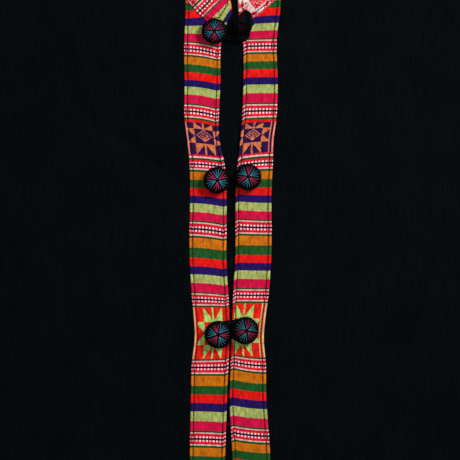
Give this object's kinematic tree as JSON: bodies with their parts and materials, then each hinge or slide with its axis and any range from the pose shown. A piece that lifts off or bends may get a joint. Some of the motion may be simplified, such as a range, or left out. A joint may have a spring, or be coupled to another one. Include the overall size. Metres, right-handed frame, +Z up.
{
  "type": "embroidered jacket",
  "caption": "Black cotton jacket laid flat, front up, with patterned woven ribbon down both front edges and round the neck, and thread-covered buttons joined by cord loops.",
  "frame": {"origin": "on the surface that the jacket lies on, under the middle of its bounding box", "axes": "+X across the jacket to the viewer's right (the wearer's left), +Y from the hem to the neck, +Z up through the layers, from the back panel to the fronts"},
  "size_m": [1.2862, 0.6201, 0.0299],
  "materials": {
    "black_cotton": "matt plain-weave cotton with a fine upright crinkle",
    "woven_ribbon": "cotton ribbon with woven and embroidered cross stripes, dotted lines and eight-pointed stars, close to matt",
    "button_thread": "black thread cover with straight teal and crimson stitches from the middle",
    "black_cord": "twisted black cotton cord"
  },
  "bodies": {
    "root": {"back": "black_cotton", "front_left": "black_cotton", "front_right": "black_cotton", "sleeve_left": "black_cotton", "sleeve_right": "black_cotton", "band_left": "woven_ribbon", "band_right": "woven_ribbon", "neck_left": "woven_ribbon", "neck_right": "woven_ribbon", "button_top_left": "button_thread", "button_top_right": "button_thread", "button_middle_left": "button_thread", "button_middle_right": "button_thread", "button_bottom_left": "button_thread", "button_bottom_right": "button_thread", "stem_top_left": "black_cord", "stem_top_right": "black_cord", "stem_middle_left": "black_cord", "stem_middle_right": "black_cord", "stem_bottom_left": "black_cord", "stem_bottom_right": "black_cord", "loop_top": "black_cord", "loop_middle": "black_cord", "loop_bottom": "black_cord"}
  },
  "joints": []
}
